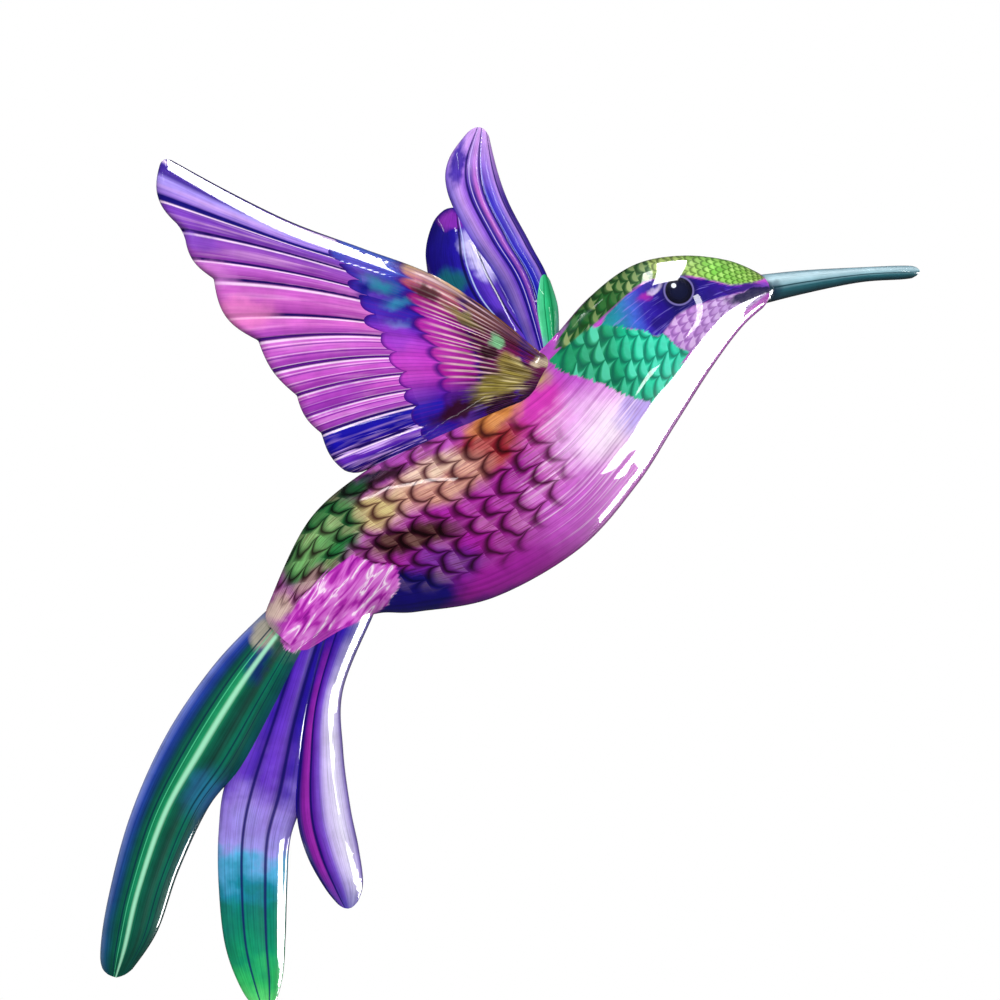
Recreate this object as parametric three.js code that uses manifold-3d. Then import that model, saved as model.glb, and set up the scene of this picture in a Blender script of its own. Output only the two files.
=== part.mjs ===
// A hummingbird for a wall, pressed from one piece of thin sheet steel and open at the back, with a
// hanging strap fixed across the hollow behind its near wing. X runs to the beak, Z is up and the
// painted front looks along -Y. The wall is the plane y = 0, and the origin is on the strap's back.
import * as THREE from "three";
import Module from "manifold-3d";

const wasm = await Module();
wasm.setup();

// Driving sizes, in millimetres.
const birdWidth = 281; // from the lowest tail feather's outer side to the end of the beak
const sheetThickness = 0.8;
const flangeDepth = 2.2; // the edge turned back to the wall, all round
const bodyDepth = 24; // how far the breast stands out from the wall
const nearWingDepth = 12.5;
const farWingDepth = 8;
const tailDepth = 11;
const beakDepth = 9;
const featherRidge = 0.7; // how far a wing feather rises between its two creases
const creaseWidth = 0.08; // of the width of a tail or far wing feather
const creaseDepth = 0.12; // of its own height
const mostInset = 0.42; // of a form's width, so that its hollow ends in a point and never crosses over
const strapLength = 34;
const strapWidth = 12;
const strapThickness = 1.2;
const footLength = 8;
const solderGap = 0.3; // the solder between a foot and the sheet
const notchWidth = 6;
const notchDepth = 3;
const shortestEdge = 0.02; // what a cut leaves shorter than this is closed up

// The outline is drawn in hundredths of the bird's width, from its lowest and leftmost points.
const share = birdWidth / 100;
const hangAt = [37.5, 77.8]; // above the bird's balance point, so that it hangs level
const guide = (points) =>
  new THREE.SplineCurve(
    points.map(([x, z]) => new THREE.Vector2((x - hangAt[0]) * share, (z - hangAt[1]) * share)),
  );

// Each form lies between two edges. Its ribs join points that are the same share along both, and
// crest is its depth there, as shares of its own depth, from the first rib to the last.
const body = {
  edges: [
    guide([[80.8, 90.4], [76.4, 92.3], [70.5, 92.9], [64.7, 91.7], [59.3, 87.7], [53, 80.9],
      [43, 73.9], [34.3, 68.2], [25.5, 60.9], [19.8, 49]]),
    guide([[81.5, 87.3], [78.1, 84.3], [74.3, 79.2], [69.9, 72.3], [65.3, 65.1], [58.3, 57.3],
      [48, 51.4], [38.5, 49.6], [32.6, 49.1], [24.5, 44.6]]),
  ],
  depth: bodyDepth,
  crest: [0.37, 0.5, 0.66, 0.77, 0.88, 0.98, 1, 0.86, 0.66, 0.5],
  ribs: 26,
  across: 12,
};

const beak = {
  edges: [
    guide([[77.8, 90.3], [85.1, 91.1], [92.4, 91.5], [97.9, 91.7], [100, 91.4]]),
    guide([[77.8, 86.3], [85.1, 88.2], [92.4, 89.7], [97.9, 90.1], [100, 90.5]]),
  ],
  depth: beakDepth,
  crest: [1, 0.78, 0.66, 0.56, 0.36],
  ribs: 10,
  across: 6,
};

const farWingForms = {
  upper: {
    edges: [
      guide([[45.4, 108.8], [42.4, 104.7], [42.2, 100.7], [44.9, 95.1], [48.8, 89.2], [52.9, 79.7]]),
      guide([[47, 108.6], [48.3, 103.2], [49.8, 99.1], [52.4, 94.2], [54.8, 89], [55.6, 80.3]]),
    ],
    depth: farWingDepth,
    crest: [0.45, 0.75, 0.85, 0.95, 1, 0.9],
    creases: [[0.36, 0.4], [0.68, 0.62]],
    ribs: 12,
    across: 8,
  },
  lower: {
    edges: [
      guide([[42.8, 99.2], [40.5, 97], [39.6, 92.3], [41.8, 87], [51, 81]]),
      guide([[43.7, 98.5], [46.8, 93.7], [48.8, 90.3], [51, 86.6], [53.5, 81.2]]),
    ],
    depth: farWingDepth,
    crest: [0.4, 0.66, 0.72, 0.76, 0.8],
    creases: [[0.5, 0.5]],
    ribs: 8,
    across: 6,
  },
  shoulder: {
    edges: [
      guide([[53.7, 91.2], [53.1, 87], [53.7, 82.7], [54.2, 79.4]]),
      guide([[54.3, 91], [55.6, 87], [55.8, 83.3], [56, 79.4]]),
    ],
    depth: farWingDepth,
    crest: [0.4, 0.95, 1.1, 1.1],
    ribs: 6,
    across: 4,
  },
};

// A crease is a pair: where it crosses the first rib and the last, as shares of the rib.
const tailForms = {
  left: {
    edges: [
      guide([[24.4, 53.4], [19.5, 49.1], [13.7, 43], [8, 34.6], [3.6, 24.7], [0.9, 14.5], [0, 7.8],
        [0.8, 5.2]]),
      guide([[28, 50.4], [24.5, 44.8], [21.2, 38.2], [17.3, 31], [13.2, 25.9], [9.5, 18.1],
        [6.8, 10.5], [3.2, 5.2]]),
    ],
    depth: tailDepth,
    crest: [0.95, 0.95, 0.92, 0.88, 0.84, 0.78, 0.62, 0.28],
    creases: [[0.3, 0.26], [0.72, 0.76]],
    ribs: 16,
    across: 10,
  },
  middle: {
    edges: [
      guide([[25.4, 51.6], [22.4, 46.2], [18.8, 37], [15.3, 29.1], [14.4, 23], [14.4, 16.3],
        [15.2, 9], [17.3, 3.5], [20, 0.1]]),
      guide([[31, 51.6], [28.5, 46.2], [26, 36.4], [24.9, 27.7], [23.1, 22], [22.7, 16.3],
        [22.5, 10.2], [22.1, 5], [20.7, 0.1]]),
    ],
    depth: tailDepth,
    crest: [0.95, 0.95, 0.86, 0.8, 0.76, 0.72, 0.64, 0.48, 0.24],
    creases: [[0.35, 0.4], [0.68, 0.72]],
    ribs: 16,
    across: 10,
  },
  right: {
    edges: [
      guide([[30.4, 53.4], [27.9, 48.6], [25.3, 38.9], [24.2, 30.9], [23.9, 24.9], [25.1, 20.1],
        [27.4, 15.9], [29.6, 13.3]]),
      guide([[35.2, 53.4], [33.1, 49], [29.5, 40.1], [29.5, 32.8], [30.4, 25.7], [31.4, 20.8],
        [31.9, 16.3], [30.8, 13.3]]),
    ],
    depth: tailDepth,
    crest: [1, 1, 0.95, 0.92, 0.88, 0.8, 0.62, 0.28],
    creases: [[0.3, 0.3]],
    ribs: 16,
    across: 10,
  },
};

// The near wing's ribs are its feathers, which fan from the shoulder to a scalloped edge. bow is how
// far a feather arches above a straight line, and bulge how far its scallop stands past the notches.
const nearWing = {
  root: guide([[55, 80], [53.8, 78.4], [52.3, 75.4]]),
  notches: [[7.6, 105.1], [10.2, 96], [13.8, 90.1], [19.2, 82.6], [23.9, 75.9], [26.9, 71.3],
    [30.7, 66.1]].map(([x, z]) => [(x - hangAt[0]) * share, (z - hangAt[1]) * share]),
  bulges: [1.95, 1, 1.5, 0.7, 0.55, 0.75].map((b) => b * share),
  bow: [2.4, 2.4, 2.3, 2.3, 1.9, 1.2, 0.2].map((b) => b * share),
  leadingBow: [0, 1.7, 2.5, 1.4, 0.2, -0.1, 0].map((b) => b * share),
  crest: [1, 0.96, 0.84, 0.72, 0.6, 0.5],
  edgeReach: 0.12, // the share of the fan over which feathers follow the leading edge's own bow
  leadingRidge: 1.6,
  ridgeReach: 7, // how far the leading edge's swell reaches down the wing
  leadingRoll: 12, // how wide the rounding is along the leading edge
  trailingRoll: 5,
  tipRoll: 3.5,
  ridgeStart: [0.3, 0.55], // the shares of a feather over which its ridge rises from the smooth shoulder
  feathersPerScallop: 2,
  stepsPerFeather: 3,
  along: 12,
};

const lerp = THREE.MathUtils.lerp;
const dome = (a) => Math.sqrt(Math.max(0, 1 - Math.abs(a) ** 2.2));
const rolled = (distance, radius) => dome(1 - Math.min(distance / radius, 1));

// The value a share t of the way along a list of stations, joined smoothly.
function along(stations, t) {
  const spline = new THREE.SplineCurve(stations.map((value, i) => new THREE.Vector2(i, value)));
  return spline.getPoint(t).y;
}

// A point on a form between two edges, s along it and v across it, inset from its own surface.
function formPoint(form, s, v, inset) {
  const first = form.edges[0].getPoint(s);
  const last = form.edges[1].getPoint(s);
  const width = first.distanceTo(last);
  const margin = Math.min(inset / width, mostInset);
  const p = first.lerp(last, lerp(margin, 1 - margin, v));
  const crest = Math.max(form.depth * along(form.crest, s), flangeDepth);
  const fold = (form.creases ?? []).reduce((sum, [from, to]) => {
    const reach = (v - lerp(from, to, s)) / creaseWidth;
    return sum + Math.exp(-reach * reach);
  }, 0);
  const raised = (crest - flangeDepth) * (1 - creaseDepth * fold) * dome(2 * v - 1);
  return [p.x, flangeDepth + raised - inset, p.y];
}

// The end of the feather that is s of the way across the wing.
function featherTip(s) {
  const count = nearWing.bulges.length;
  const k = Math.min(Math.floor(s * count), count - 1);
  const t = s * count - k;
  const [x0, z0] = nearWing.notches[k];
  const [x1, z1] = nearWing.notches[k + 1];
  const chord = Math.hypot(x1 - x0, z1 - z0);
  const out = nearWing.bulges[k] * Math.sin(Math.PI * t);
  return new THREE.Vector2(
    lerp(x0, x1, t) + (out * (z1 - z0)) / chord,
    lerp(z0, z1, t) - (out * (x1 - x0)) / chord,
  );
}

function featherPoint(s, v) {
  const root = nearWing.root.getPoint(s);
  const rib = featherTip(s).sub(root);
  const arch = along(nearWing.bow, s) * 4 * v * (1 - v);
  const edgeShare = Math.exp(-((s / nearWing.edgeReach) ** 2));
  const rise = lerp(arch, along(nearWing.leadingBow, v), edgeShare) / rib.length();
  return new THREE.Vector2(root.x + rib.x * v + rib.y * rise, root.y + rib.y * v - rib.x * rise);
}

// A point on the near wing, s across its fan of feathers and v out along one of them.
function nearWingPoint(s, v, inset) {
  const length = featherTip(s).distanceTo(nearWing.root.getPoint(s));
  const span = featherPoint(0, v).distanceTo(featherPoint(1, v));
  const margin = Math.min(inset / span, mostInset);
  const end = inset / length;
  const p = featherPoint(lerp(margin, 1 - margin, s), lerp(end, 1 - end, v));
  const sides = rolled(s * span, nearWing.leadingRoll) * rolled((1 - s) * span, nearWing.trailingRoll);
  const fromTip = (1 - v) * length;
  const feathers = nearWing.bulges.length * nearWing.feathersPerScallop;
  const fromCrease = 2 * ((s * feathers) % 1) - 1;
  const risen = THREE.MathUtils.smoothstep(v, ...nearWing.ridgeStart);
  const ridge = featherRidge * (1 - fromCrease * fromCrease) * risen;
  const swell = nearWing.leadingRidge * Math.exp(-((s * span) ** 2) / nearWing.ridgeReach ** 2);
  const crest = nearWingDepth * along(nearWing.crest, v) + swell - flangeDepth;
  const edge = sides * rolled(fromTip, nearWing.tipRoll);
  return [p.x, flangeDepth + crest * edge + ridge * edge - inset, p.y];
}

// The closed solid from a grid of front points back to the plane y = floor.
function reliefSolid(grid, floor) {
  const rows = grid.length;
  const columns = grid[0].length;
  const front = grid.flat().flatMap(([x, depth, z]) => [x, -depth, z]);
  const back = grid.flat().flatMap(([x, , z]) => [x, floor, z]);
  const half = rows * columns;
  const at = (i, j) => i * columns + j;
  const triangles = [];
  const quad = (a, b, c, d) => triangles.push(a, b, c, a, c, d);
  for (let i = 0; i + 1 < rows; i++) {
    for (let j = 0; j + 1 < columns; j++) {
      quad(at(i, j), at(i, j + 1), at(i + 1, j + 1), at(i + 1, j));
      quad(half + at(i, j), half + at(i + 1, j), half + at(i + 1, j + 1), half + at(i, j + 1));
    }
  }
  const rim = [];
  for (let j = 0; j + 1 < columns; j++) rim.push(at(0, j));
  for (let i = 0; i + 1 < rows; i++) rim.push(at(i, columns - 1));
  for (let j = columns - 1; j > 0; j--) rim.push(at(rows - 1, j));
  for (let i = rows - 1; i > 0; i--) rim.push(at(i, 0));
  rim.forEach((a, k) => {
    const b = rim[(k + 1) % rim.length];
    quad(b, a, half + a, half + b);
  });
  const make = (order) =>
    new wasm.Manifold(
      new wasm.Mesh({
        numProp: 3,
        vertProperties: new Float32Array([...front, ...back]),
        triVerts: new Uint32Array(order),
      }),
    );
  const solid = make(triangles);
  return solid.volume() > 0 ? solid : make(triangles.reverse());
}

const steps = (count, ease = (t) => t) => Array.from({ length: count + 1 }, (_, i) => ease(i / count));
const crowded = (t) => (1 - Math.cos(Math.PI * t)) / 2; // closer together at both ends

function formSolid(form, inset, floor) {
  const end = inset / form.edges[0].getLength();
  const grid = steps(form.ribs).map((s) =>
    steps(form.across, crowded).map((v) => formPoint(form, lerp(end, 1 - end, s), v, inset)),
  );
  return reliefSolid(grid, floor);
}

function nearWingSolid(inset, floor) {
  const ribs = nearWing.bulges.length * nearWing.feathersPerScallop * nearWing.stepsPerFeather;
  const outward = (t) => Math.sin((Math.PI / 2) * t);
  const grid = steps(ribs).map((s) =>
    steps(nearWing.along, outward).map((v) => nearWingPoint(s, v, inset)),
  );
  return reliefSolid(grid, floor);
}

// Every form of the bird joined, at an inset from its painted surface.
function birdSolid(inset, floor) {
  const forms = [body, beak, ...Object.values(farWingForms), ...Object.values(tailForms)];
  return forms.reduce(
    (joined, form) => joined.add(formSolid(form, inset, floor)),
    nearWingSolid(inset, floor),
  );
}

// A three.js geometry as a solid.
function solidOf(geometry) {
  const flat = geometry.index ? geometry.toNonIndexed() : geometry;
  const position = flat.getAttribute("position");
  const mesh = new wasm.Mesh({
    numProp: 3,
    vertProperties: Float32Array.from(position.array),
    triVerts: Uint32Array.from({ length: position.count }, (_, i) => i),
  });
  mesh.merge();
  return new wasm.Manifold(mesh);
}

function block(centre, size) {
  return solidOf(new THREE.BoxGeometry(...size).translate(...centre));
}

// The strap lies on the wall, with a notch in its lower edge for a nail. Its two legs rise to feet
// that follow the inside of the sheet.
function hangingStrap() {
  const halfLength = strapLength / 2;
  const halfWidth = strapWidth / 2;
  const notchTop = notchDepth - halfWidth;
  const outline = new THREE.Shape([
    new THREE.Vector2(-halfLength, -halfWidth),
    new THREE.Vector2(-notchWidth / 2, -halfWidth),
    new THREE.Vector2(-notchWidth / 4, notchTop),
    new THREE.Vector2(notchWidth / 4, notchTop),
    new THREE.Vector2(notchWidth / 2, -halfWidth),
    new THREE.Vector2(halfLength, -halfWidth),
    new THREE.Vector2(halfLength, halfWidth),
    new THREE.Vector2(-halfLength, halfWidth),
  ]);
  const plate = new THREE.ExtrudeGeometry(outline, { depth: strapThickness, bevelEnabled: false });
  const underSheet = nearWingSolid(sheetThickness + solderGap, 0);
  const underFeet = nearWingSolid(sheetThickness + solderGap + strapThickness, 0);
  const reach = 2 * nearWingDepth; // past the sheet, which trims it
  const ends = [-1, 1].map((side) => {
    const leg = block(
      [side * (halfLength - strapThickness / 2), -reach / 2, 0],
      [strapThickness, reach, strapWidth],
    );
    const foot = block(
      [side * (halfLength + (footLength - strapThickness) / 2), -reach / 2 - strapThickness, 0],
      [footLength + strapThickness, reach, strapWidth],
    );
    return leg.add(foot.subtract(underFeet)).intersect(underSheet);
  });
  return solidOf(plate.rotateX(Math.PI / 2)).add(ends[0]).add(ends[1]);
}

function meshOf(name, solid, material) {
  const { numProp, numVert, vertProperties, triVerts } = solid.simplify(shortestEdge).getMesh();
  const position = new Float32Array(numVert * 3);
  for (let i = 0; i < numVert; i++) {
    position.set(vertProperties.subarray(i * numProp, i * numProp + 3), i * 3);
  }
  const geometry = new THREE.BufferGeometry();
  geometry.setAttribute("position", new THREE.BufferAttribute(position, 3));
  geometry.setIndex(new THREE.BufferAttribute(triVerts, 1));
  geometry.computeVertexNormals();
  const mesh = new THREE.Mesh(geometry, material);
  mesh.name = name;
  return mesh;
}

const printedEnamel = new THREE.MeshStandardMaterial({ color: "#b03fb4", roughness: 0.12, metalness: 0 });
const zincPlate = new THREE.MeshStandardMaterial({ color: "#9a9ea3", roughness: 0.4, metalness: 1 });

const pressedSheet = birdSolid(0, 0).subtract(birdSolid(sheetThickness, 1));

const wallBird = new THREE.Group();
wallBird.add(meshOf("pressed_bird", pressedSheet, printedEnamel));
wallBird.add(meshOf("hanging_strap", hangingStrap(), zincPlate));

export default wallBird;
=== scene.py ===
# A hummingbird for a wall: one pressed steel sheet with printed feathers under gloss lacquer.
import math

import bpy
import numpy as np
from mathutils import Matrix, Vector, kdtree
from mathutils.geometry import delaunay_2d_cdt


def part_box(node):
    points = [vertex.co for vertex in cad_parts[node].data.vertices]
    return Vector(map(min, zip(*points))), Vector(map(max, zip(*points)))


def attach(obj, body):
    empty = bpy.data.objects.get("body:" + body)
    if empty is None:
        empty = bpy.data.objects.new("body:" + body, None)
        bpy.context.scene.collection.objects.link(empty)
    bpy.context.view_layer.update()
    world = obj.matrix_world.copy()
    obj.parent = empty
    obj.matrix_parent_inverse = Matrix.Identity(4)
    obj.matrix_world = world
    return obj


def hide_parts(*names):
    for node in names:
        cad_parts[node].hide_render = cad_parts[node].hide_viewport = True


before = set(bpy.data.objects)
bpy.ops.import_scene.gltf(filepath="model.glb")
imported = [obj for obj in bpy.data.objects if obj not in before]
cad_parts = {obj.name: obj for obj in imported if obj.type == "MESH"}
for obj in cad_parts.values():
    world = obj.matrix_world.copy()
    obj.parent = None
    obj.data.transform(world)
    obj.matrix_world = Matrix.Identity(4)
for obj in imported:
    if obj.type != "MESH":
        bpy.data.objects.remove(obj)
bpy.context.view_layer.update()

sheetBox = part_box("pressed_bird")
mm = 0.001

# The bird's own sizes in millimetres. Its guides are drawn in hundredths of its width, from its
# lowest and leftmost points, as on the pressed sheet.
bird = {
    "width": (sheetBox[1].x - sheetBox[0].x) / mm,
    "hangAt": (37.5, 77.8),      # the strap's place on those guides
    "flange": 2.2,               # edge turned back to the wall
    "sheet": 0.8,
    "bodyDepth": 24.0,
    "nearWingDepth": 12.5,
    "farWingDepth": 8.0,
    "tailDepth": 11.0,
    "beakDepth": 9.0,
    "creaseWidth": 0.08,         # share of a feather's width
    "creaseDepth": 0.12,         # share of a feather's height
    "featherRidge": 0.7,
    "blend": 0.7,                # how softly one form runs into the next
    "step": 0.86,                # between two points of the mesh
    "ribs": 289,                 # lines across a form that a point's place on it is found between
    "edgeSamples": 400,
    "sharpTurn": 32,             # degrees, above which a corner of the outline is eased
    "easedSteps": 3,             # mesh steps each way from it
    "easing": 12,
    "sharpEdge": 60,             # degrees, above which an edge isn't shaded smooth
    "rimSteps": (0.1, 0.32, 0.66, 1.1),   # finer rows just inside each edge, where it turns back
}
share = bird["width"] / 100

forms = {
    "body": {
        "first": [(80.8, 90.4), (76.4, 92.3), (70.5, 92.9), (64.7, 91.7), (59.3, 87.7), (53, 80.9),
                  (43, 73.9), (34.3, 68.2), (25.5, 60.9), (19.8, 49)],
        "last": [(81.5, 87.3), (78.1, 84.3), (74.3, 79.2), (69.9, 72.3), (65.3, 65.1), (58.3, 57.3),
                 (48, 51.4), (38.5, 49.6), (32.6, 49.1), (24.5, 44.6)],
        "depth": bird["bodyDepth"],
        "crest": (0.37, 0.5, 0.66, 0.77, 0.88, 0.98, 1, 0.86, 0.66, 0.5),
    },
    "beak": {
        "first": [(77.8, 90.3), (85.1, 91.1), (92.4, 91.5), (97.9, 91.7), (100, 91.4)],
        "last": [(77.8, 86.3), (85.1, 88.2), (92.4, 89.7), (97.9, 90.1), (100, 90.5)],
        "depth": bird["beakDepth"],
        "crest": (1, 0.78, 0.66, 0.56, 0.36),
    },
    "farWing": {
        "first": [(45.4, 108.8), (42.4, 104.7), (42.2, 100.7), (44.9, 95.1), (48.8, 89.2), (52.9, 79.7)],
        "last": [(47, 108.6), (48.3, 103.2), (49.8, 99.1), (52.4, 94.2), (54.8, 89), (55.6, 80.3)],
        "depth": bird["farWingDepth"],
        "crest": (0.45, 0.75, 0.85, 0.95, 1, 0.9),
        "creases": ((0.36, 0.4), (0.68, 0.62)),
    },
    "farLobe": {
        "first": [(42.8, 99.2), (40.5, 97), (39.6, 92.3), (41.8, 87), (51, 81)],
        "last": [(43.7, 98.5), (46.8, 93.7), (48.8, 90.3), (51, 86.6), (53.5, 81.2)],
        "depth": bird["farWingDepth"],
        "crest": (0.4, 0.66, 0.72, 0.76, 0.8),
        "creases": ((0.5, 0.5),),
    },
    "shoulder": {
        "first": [(53.7, 91.2), (53.1, 87), (53.7, 82.7), (54.2, 79.4)],
        "last": [(54.3, 91), (55.6, 87), (55.8, 83.3), (56, 79.4)],
        "depth": bird["farWingDepth"],
        "crest": (0.4, 0.95, 1.1, 1.1),
    },
    "tailLeft": {
        "first": [(24.4, 53.4), (19.5, 49.1), (13.7, 43), (8, 34.6), (3.6, 24.7), (0.9, 14.5), (0, 7.8),
                  (0.8, 5.2)],
        "last": [(28, 50.4), (24.5, 44.8), (21.2, 38.2), (17.3, 31), (13.2, 25.9), (9.5, 18.1),
                 (6.8, 10.5), (3.2, 5.2)],
        "depth": bird["tailDepth"],
        "crest": (0.95, 0.95, 0.92, 0.88, 0.84, 0.78, 0.62, 0.28),
        "creases": ((0.3, 0.26), (0.72, 0.76)),
    },
    "tailMiddle": {
        "first": [(25.4, 51.6), (22.4, 46.2), (18.8, 37), (15.3, 29.1), (14.4, 23), (14.4, 16.3),
                  (15.2, 9), (17.3, 3.5), (20, 0.1)],
        "last": [(31, 51.6), (28.5, 46.2), (26, 36.4), (24.9, 27.7), (23.1, 22), (22.7, 16.3),
                 (22.5, 10.2), (22.1, 5), (20.7, 0.1)],
        "depth": bird["tailDepth"],
        "crest": (0.95, 0.95, 0.86, 0.8, 0.76, 0.72, 0.64, 0.48, 0.24),
        "creases": ((0.35, 0.4), (0.68, 0.72)),
    },
    "tailRight": {
        "first": [(30.4, 53.4), (27.9, 48.6), (25.3, 38.9), (24.2, 30.9), (23.9, 24.9), (25.1, 20.1),
                  (27.4, 15.9), (29.6, 13.3)],
        "last": [(35.2, 53.4), (33.1, 49), (29.5, 40.1), (29.5, 32.8), (30.4, 25.7), (31.4, 20.8),
                 (31.9, 16.3), (30.8, 13.3)],
        "depth": bird["tailDepth"],
        "crest": (1, 1, 0.95, 0.92, 0.88, 0.8, 0.62, 0.28),
        "creases": ((0.3, 0.3),),
    },
}

# The near wing is a fan of feathers from the shoulder to a scalloped edge.
nearWing = {
    "root": [(55, 80), (53.8, 78.4), (52.3, 75.4)],
    "notches": [(7.6, 105.1), (10.2, 96), (13.8, 90.1), (19.2, 82.6), (23.9, 75.9), (26.9, 71.3),
                (30.7, 66.1)],
    "bulges": (1.95, 1, 1.5, 0.7, 0.55, 0.75),
    "bow": (2.4, 2.4, 2.3, 2.3, 1.9, 1.2, 0.2),
    "leadingBow": (0, 1.7, 2.5, 1.4, 0.2, -0.1, 0),
    "crest": (1, 0.96, 0.84, 0.72, 0.6, 0.5),
    "edgeReach": 0.12,           # share of the fan that follows leadingBow
    "leadingRidge": 1.6,
    "ridgeReach": 7.0,
    "leadingRoll": 12.0,         # how wide the rounding is along the leading edge
    "trailingRoll": 5.0,
    "tipRoll": 3.5,
    "ridgeStart": (0.3, 0.55),   # where the raised feathers begin, from the root to the tips
    "feathers": 12,
}

# What lies over what, from the front
paintOrder = ["nearWing", "body", "beak", "shoulder", "farWing", "farLobe", "tailRight", "tailLeft",
              "tailMiddle"]


def guidePoint(points):
    return (np.array(points, float) - bird["hangAt"]) * share


def splineAlong(stations, t):
    # A smooth line through evenly spaced stations, t from 0 to 1
    stations = np.array(stations, float)
    last = len(stations) - 1
    place = np.clip(np.asarray(t, float), 0, 1) * last
    at = np.minimum(place.astype(int), last)
    weight = place - at
    before, here = stations[np.maximum(at - 1, 0)], stations[at]
    after, beyond = stations[np.minimum(at + 1, last)], stations[np.minimum(at + 2, last)]
    if stations.ndim > 1:
        weight = weight[..., None]
    inward, outward = (after - before) / 2, (beyond - here) / 2
    return ((2 * here - 2 * after + inward + outward) * weight ** 3
            + (3 * after - 3 * here - 2 * inward - outward) * weight ** 2 + inward * weight + here)


def dome(a):
    return np.sqrt(np.maximum(0, 1 - np.abs(a) ** 2.2))    # a little fuller than a circle


def rolled(distance, radius):
    return dome(1 - np.minimum(distance / radius, 1))


def mix(a, b, t):
    return a + (b - a) * t


def smoothStep(value, low, high):
    t = np.clip((value - low) / (high - low), 0, 1)
    return t * t * (3 - 2 * t)


def featherTip(s):
    notches = guidePoint(nearWing["notches"])
    count = len(nearWing["bulges"])
    k = np.minimum((s * count).astype(int), count - 1)
    t = s * count - k
    chord = notches[k + 1] - notches[k]
    length = np.linalg.norm(chord, axis=-1)
    out = np.array(nearWing["bulges"])[k] * share * np.sin(np.pi * t) / length
    return notches[k] + chord * t[:, None] + np.stack([chord[:, 1] * out, -chord[:, 0] * out], 1)


def featherRise(s, v):
    # How far a feather stands off the straight line from its root to its tip
    arch = splineAlong(nearWing["bow"], s) * 4 * v * (1 - v)
    edgeShare = np.exp(-(s / nearWing["edgeReach"]) ** 2)
    return mix(arch, splineAlong(nearWing["leadingBow"], v), edgeShare) * share


def featherPoint(s, v):
    root = guidePoint(splineAlong(nearWing["root"], s))
    rib = featherTip(s) - root
    rise = featherRise(s, v) / np.linalg.norm(rib, axis=1)
    return root + rib * v[:, None] + np.stack([rib[:, 1], -rib[:, 0]], 1) * rise[:, None]


def formPoint(name, s, v):
    if name == "nearWing":
        return featherPoint(s, v)
    first = guidePoint(splineAlong(forms[name]["first"], s))
    last = guidePoint(splineAlong(forms[name]["last"], s))
    return mix(first, last, v[:, None])


def straightPlace(first, last, stations, points):
    # s and v of points between two edges whose ribs are straight
    s = np.zeros(len(points))
    v = np.zeros(len(points))
    rib = last - first
    for start in range(0, len(points), 4000):    # a few at a time, to spare memory
        part = slice(start, start + 4000)
        off = points[part, None, :] - first[None]
        side = rib[None, :, 0] * off[..., 1] - rib[None, :, 1] * off[..., 0]
        low, high = side[:, :-1], side[:, 1:]
        gap = low - high
        t = np.where(np.abs(gap) > 1e-12, low / np.where(gap == 0, 1, gap), 0)
        over = (off * rib[None]).sum(-1) / (rib ** 2).sum(-1)[None]
        across = mix(over[:, :-1], over[:, 1:], t)
        cost = np.abs(across - 0.5) + np.where((t >= -1e-6) & (t <= 1 + 1e-6), 0, 10 + np.abs(t))
        best = cost.argmin(1)
        rows = np.arange(len(best))
        bestT = np.clip(t[rows, best], 0, 1)
        s[part] = mix(stations[best], stations[best + 1], bestT)
        v[part] = across[rows, best]
    return s, np.clip(v, 0, 1)


def placeOn(name, points):
    stations = np.linspace(0, 1, bird["ribs"])
    if name != "nearWing":
        first = guidePoint(splineAlong(forms[name]["first"], stations))
        last = guidePoint(splineAlong(forms[name]["last"], stations))
        return straightPlace(first, last, stations, points)
    root = guidePoint(splineAlong(nearWing["root"], stations))
    tip = featherTip(stations)
    s, v = straightPlace(root, tip, stations, points)
    for _ in range(7):    # closes in on the bowed ribs
        straight = guidePoint(splineAlong(nearWing["root"], s))
        straight = straight + (featherTip(s) - straight) * v[:, None]
        s, v = straightPlace(root, tip, stations, points - (featherPoint(s, v) - straight))
    return s, v


def formDepth(name, s, v):
    # How far a form stands off the wall, and how far inside its edge that is, from 0 to 1
    flange = bird["flange"]
    if name == "nearWing":
        one, zero = np.ones_like(s), np.zeros_like(s)
        length = np.linalg.norm(featherTip(s) - guidePoint(splineAlong(nearWing["root"], s)), axis=1)
        span = np.linalg.norm(featherPoint(zero, v) - featherPoint(one, v), axis=1)
        inside = rolled(s * span, nearWing["leadingRoll"]) * rolled((1 - s) * span, nearWing["trailingRoll"])
        inside = inside * rolled((1 - v) * length, nearWing["tipRoll"])
        fromCrease = 2 * ((s * nearWing["feathers"]) % 1) - 1
        ridge = bird["featherRidge"] * (1 - fromCrease ** 2) * smoothStep(v, *nearWing["ridgeStart"])
        swell = nearWing["leadingRidge"] * np.exp(-(s * span) ** 2 / nearWing["ridgeReach"] ** 2)
        crest = bird["nearWingDepth"] * splineAlong(nearWing["crest"], v) + swell - flange
        return flange + (crest + ridge) * inside, inside
    form = forms[name]
    crest = np.maximum(form["depth"] * splineAlong(form["crest"], s), flange)
    fold = 0
    for start, end in form.get("creases", ()):
        fold = fold + np.exp(-((v - mix(start, end, s)) / bird["creaseWidth"]) ** 2)
    inside = dome(2 * v - 1)
    return flange + (crest - flange) * (1 - bird["creaseDepth"] * fold) * inside, inside


def evenly(name, side, v):
    # Points along one edge of a form, a mesh step apart
    s = np.linspace(0, 1, bird["edgeSamples"])
    held = np.full(len(s), float(v))
    line = formPoint(name, s, held) if side == "along" else formPoint(name, held, s)
    lengths = np.concatenate([[0], np.cumsum(np.linalg.norm(np.diff(line, axis=0), axis=1))])
    count = max(2, round(lengths[-1] / bird["step"]))
    return np.interp(np.linspace(0, lengths[-1], count + 1), lengths, s)


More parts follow.
